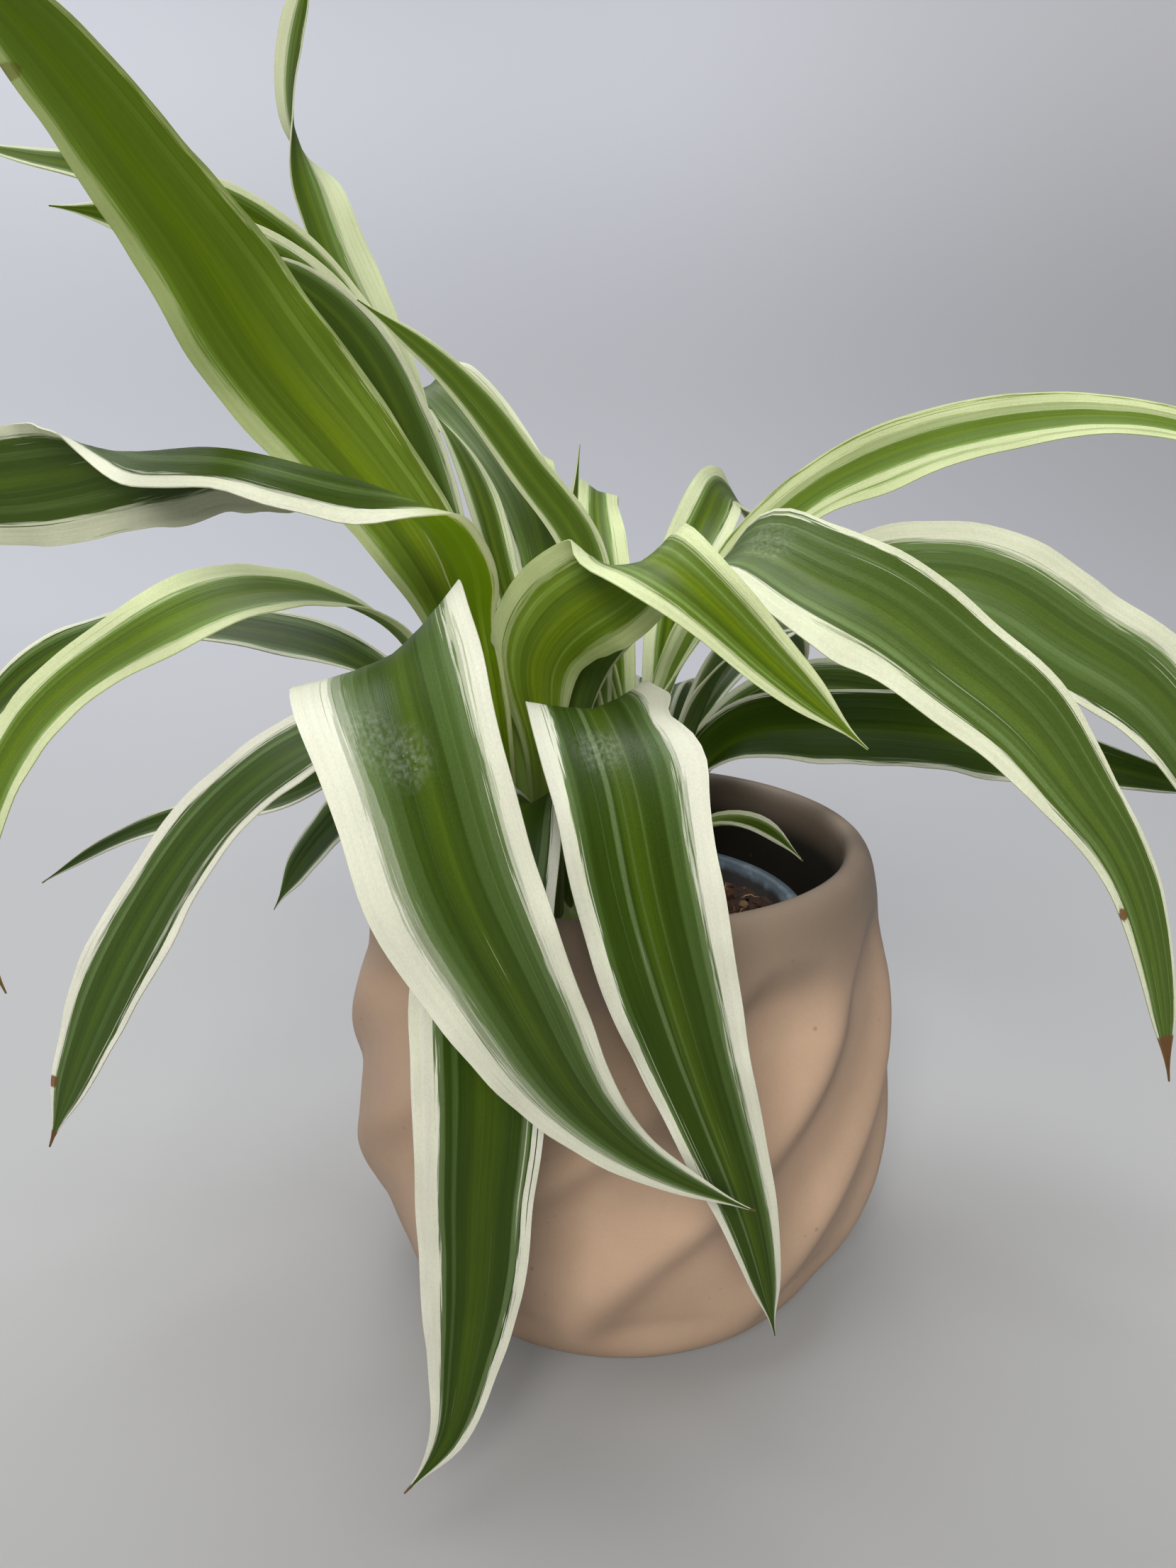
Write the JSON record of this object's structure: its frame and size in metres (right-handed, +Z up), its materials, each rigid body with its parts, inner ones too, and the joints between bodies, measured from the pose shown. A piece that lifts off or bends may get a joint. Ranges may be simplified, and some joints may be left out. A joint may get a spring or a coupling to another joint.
{
  "type": "potted spider plant",
  "caption": "Variegated spider plant with arching green and cream leaves, standing in a plastic nursery pot inside a fluted matte clay cachepot.",
  "frame": {"origin": "middle of the cachepot's underside, on the surface that it stands on", "axes": "+Z up along the pot's axis, -Y towards the viewer of the picture, +X to the viewer's right"},
  "size_m": [0.2704, 0.2226, 0.2724],
  "materials": {
    "clay": "matte",
    "thin_plastic": "satin",
    "peat": "matte",
    "crown_flesh": "satin",
    "leaf": "satin"
  },
  "bodies": {
    "root": {"ceramic_pot": "clay", "nursery_pot": "thin_plastic", "soil": "peat", "crown_front": "crown_flesh", "crown_back": "crown_flesh", "leaf_front_great": "leaf", "leaf_front_right": "leaf", "leaf_front_hang": "leaf", "leaf_right_great": "leaf", "leaf_centre_fold": "leaf", "leaf_reach": "leaf", "leaf_twist_left": "leaf", "leaf_arch_left": "leaf", "leaf_low_left": "leaf", "leaf_drop_left": "leaf", "leaf_thin_left": "leaf", "leaf_back_drop": "leaf", "leaf_top_twist": "leaf", "leaf_back_high": "leaf", "leaf_back_tip": "leaf", "leaf_dark_back": "leaf", "leaf_pale_left": "leaf", "leaf_inner_fold": "leaf", "leaf_low_back": "leaf", "leaf_right_wide": "leaf", "leaf_right_high": "leaf", "leaf_right_low": "leaf", "leaf_right_under": "leaf", "leaf_small": "leaf", "leaf_peak_right": "leaf", "leaf_pale_back": "leaf", "leaf_young": "leaf", "leaf_long_thin": "leaf", "leaf_broad_back": "leaf", "leaf_bright_back": "leaf", "leaf_back_right": "leaf", "leaf_back_far": "leaf"}
  },
  "joints": []
}
